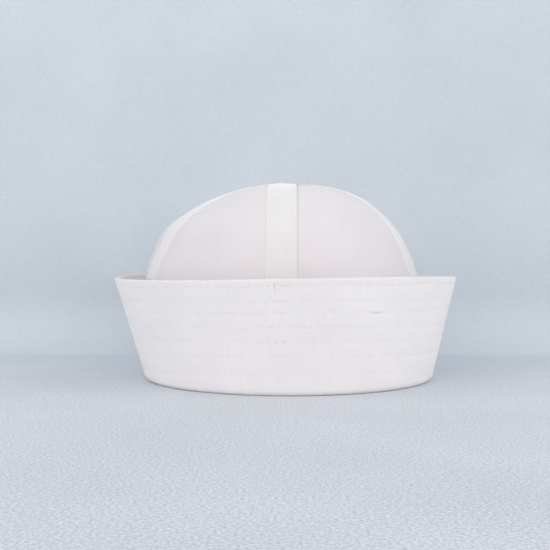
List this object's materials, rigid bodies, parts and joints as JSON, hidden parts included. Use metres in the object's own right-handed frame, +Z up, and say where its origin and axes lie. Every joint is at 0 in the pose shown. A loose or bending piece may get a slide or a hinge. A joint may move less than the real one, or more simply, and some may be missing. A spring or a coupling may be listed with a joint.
{
  "type": "sailor cap",
  "caption": "Soft white cotton sailor cap: a domed crown with flat seam bands, standing in an upright, outward-flaring stitched brim.",
  "frame": {"origin": "on the surface that the cap rests on, below the middle of the brim's top edge", "axes": "+Z up, -Y towards the front of the cap, +X to the right as seen from the front"},
  "size_m": [0.2351, 0.244, 0.1344],
  "materials": {
    "crown_cloth": "plain white cotton twill, matt",
    "band_cloth": "white cotton twill in several layers, matt",
    "brim_cloth": "white cotton twill, stitched through in rows, matt"
  },
  "bodies": {
    "root": {"crown_gore_front_left": "crown_cloth", "crown_gore_front_right": "crown_cloth", "crown_gore_back_left": "crown_cloth", "crown_gore_back_right": "crown_cloth", "crown_band_long": "band_cloth", "crown_band_left": "band_cloth", "crown_band_right": "band_cloth", "brim": "brim_cloth"}
  },
  "joints": []
}
